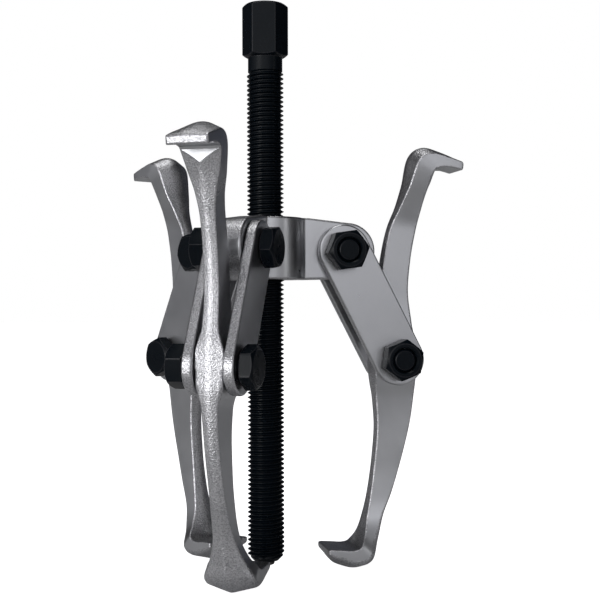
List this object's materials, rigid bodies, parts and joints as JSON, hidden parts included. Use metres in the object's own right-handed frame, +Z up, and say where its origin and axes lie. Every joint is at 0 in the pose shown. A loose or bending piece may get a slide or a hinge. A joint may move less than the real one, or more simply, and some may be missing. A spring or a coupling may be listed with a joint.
{
  "type": "gear puller",
  "caption": "Three-arm reversible gear puller: a black screw through a forged yoke, strap links and hooked legs that grip and draw off a gear or bearing.",
  "frame": {"origin": "centre of the pressure point's flat end, at the bottom of the spindle on its axis", "axes": "+Z up along the spindle towards its hexagon; +X out along arm 1; arms 2 and 3 at +120 and -120 degrees about +Z"},
  "size_m": [0.1405, 0.1622, 0.2479],
  "materials": {
    "plated_steel": "satin nickel-chrome plating over forged steel",
    "black_oxide_steel": "oiled black oxide",
    "hardened_steel": "hardened and blackened"
  },
  "bodies": {
    "yoke": {"yoke": "plated_steel"},
    "pressure_point": {"pressure_point": "hardened_steel"},
    "spindle": {"spindle": "black_oxide_steel"},
    "link_1": {"strap_1_left": "plated_steel", "strap_1_right": "plated_steel", "yoke_bolt_1": "black_oxide_steel", "yoke_nut_1": "black_oxide_steel", "leg_bolt_1": "black_oxide_steel", "leg_nut_1": "black_oxide_steel"},
    "leg_1": {"leg_1": "plated_steel"},
    "link_2": {"strap_2_left": "plated_steel", "strap_2_right": "plated_steel", "yoke_bolt_2": "black_oxide_steel", "yoke_nut_2": "black_oxide_steel", "leg_bolt_2": "black_oxide_steel", "leg_nut_2": "black_oxide_steel"},
    "leg_2": {"leg_2": "plated_steel"},
    "link_3": {"strap_3_left": "plated_steel", "strap_3_right": "plated_steel", "yoke_bolt_3": "black_oxide_steel", "yoke_nut_3": "black_oxide_steel", "leg_bolt_3": "black_oxide_steel", "leg_nut_3": "black_oxide_steel"},
    "leg_3": {"leg_3": "plated_steel"}
  },
  "joints": [
    {"name": "spindle_feed", "type": "slide", "parent": "yoke", "child": "pressure_point", "axis": [0, 0, 1], "range_m": [-0.06, 0.11]},
    {"name": "spindle_turn", "type": "hinge", "parent": "pressure_point", "child": "spindle", "pos_m": [0, 0, 0.12], "axis": [0, 0, 1], "range_deg": [-10800, 19800]},
    {"name": "link_swing_1", "type": "hinge", "parent": "yoke", "child": "link_1", "pos_m": [0.033, 0, 0.1368], "axis": [0, -1, 0], "range_deg": [-6, 60]},
    {"name": "leg_swing_1", "type": "hinge", "parent": "link_1", "child": "leg_1", "pos_m": [0.0577, 0, 0.0891], "axis": [0, 1, 0], "range_deg": [-4, 10]},
    {"name": "link_swing_2", "type": "hinge", "parent": "yoke", "child": "link_2", "pos_m": [-0.0165, 0.02858, 0.1368], "axis": [0.866, 0.5, 0], "range_deg": [-6, 60]},
    {"name": "leg_swing_2", "type": "hinge", "parent": "link_2", "child": "leg_2", "pos_m": [-0.02885, 0.04997, 0.0891], "axis": [-0.866, -0.5, 0], "range_deg": [-4, 10]},
    {"name": "link_swing_3", "type": "hinge", "parent": "yoke", "child": "link_3", "pos_m": [-0.0165, -0.02858, 0.1368], "axis": [-0.866, 0.5, 0], "range_deg": [-6, 60]},
    {"name": "leg_swing_3", "type": "hinge", "parent": "link_3", "child": "leg_3", "pos_m": [-0.02885, -0.04997, 0.0891], "axis": [0.866, -0.5, 0], "range_deg": [-4, 10]}
  ],
  "couplings": [
    {"joint": "spindle_turn", "follows": "spindle_feed", "rad_per_m": 3141.6}
  ]
}
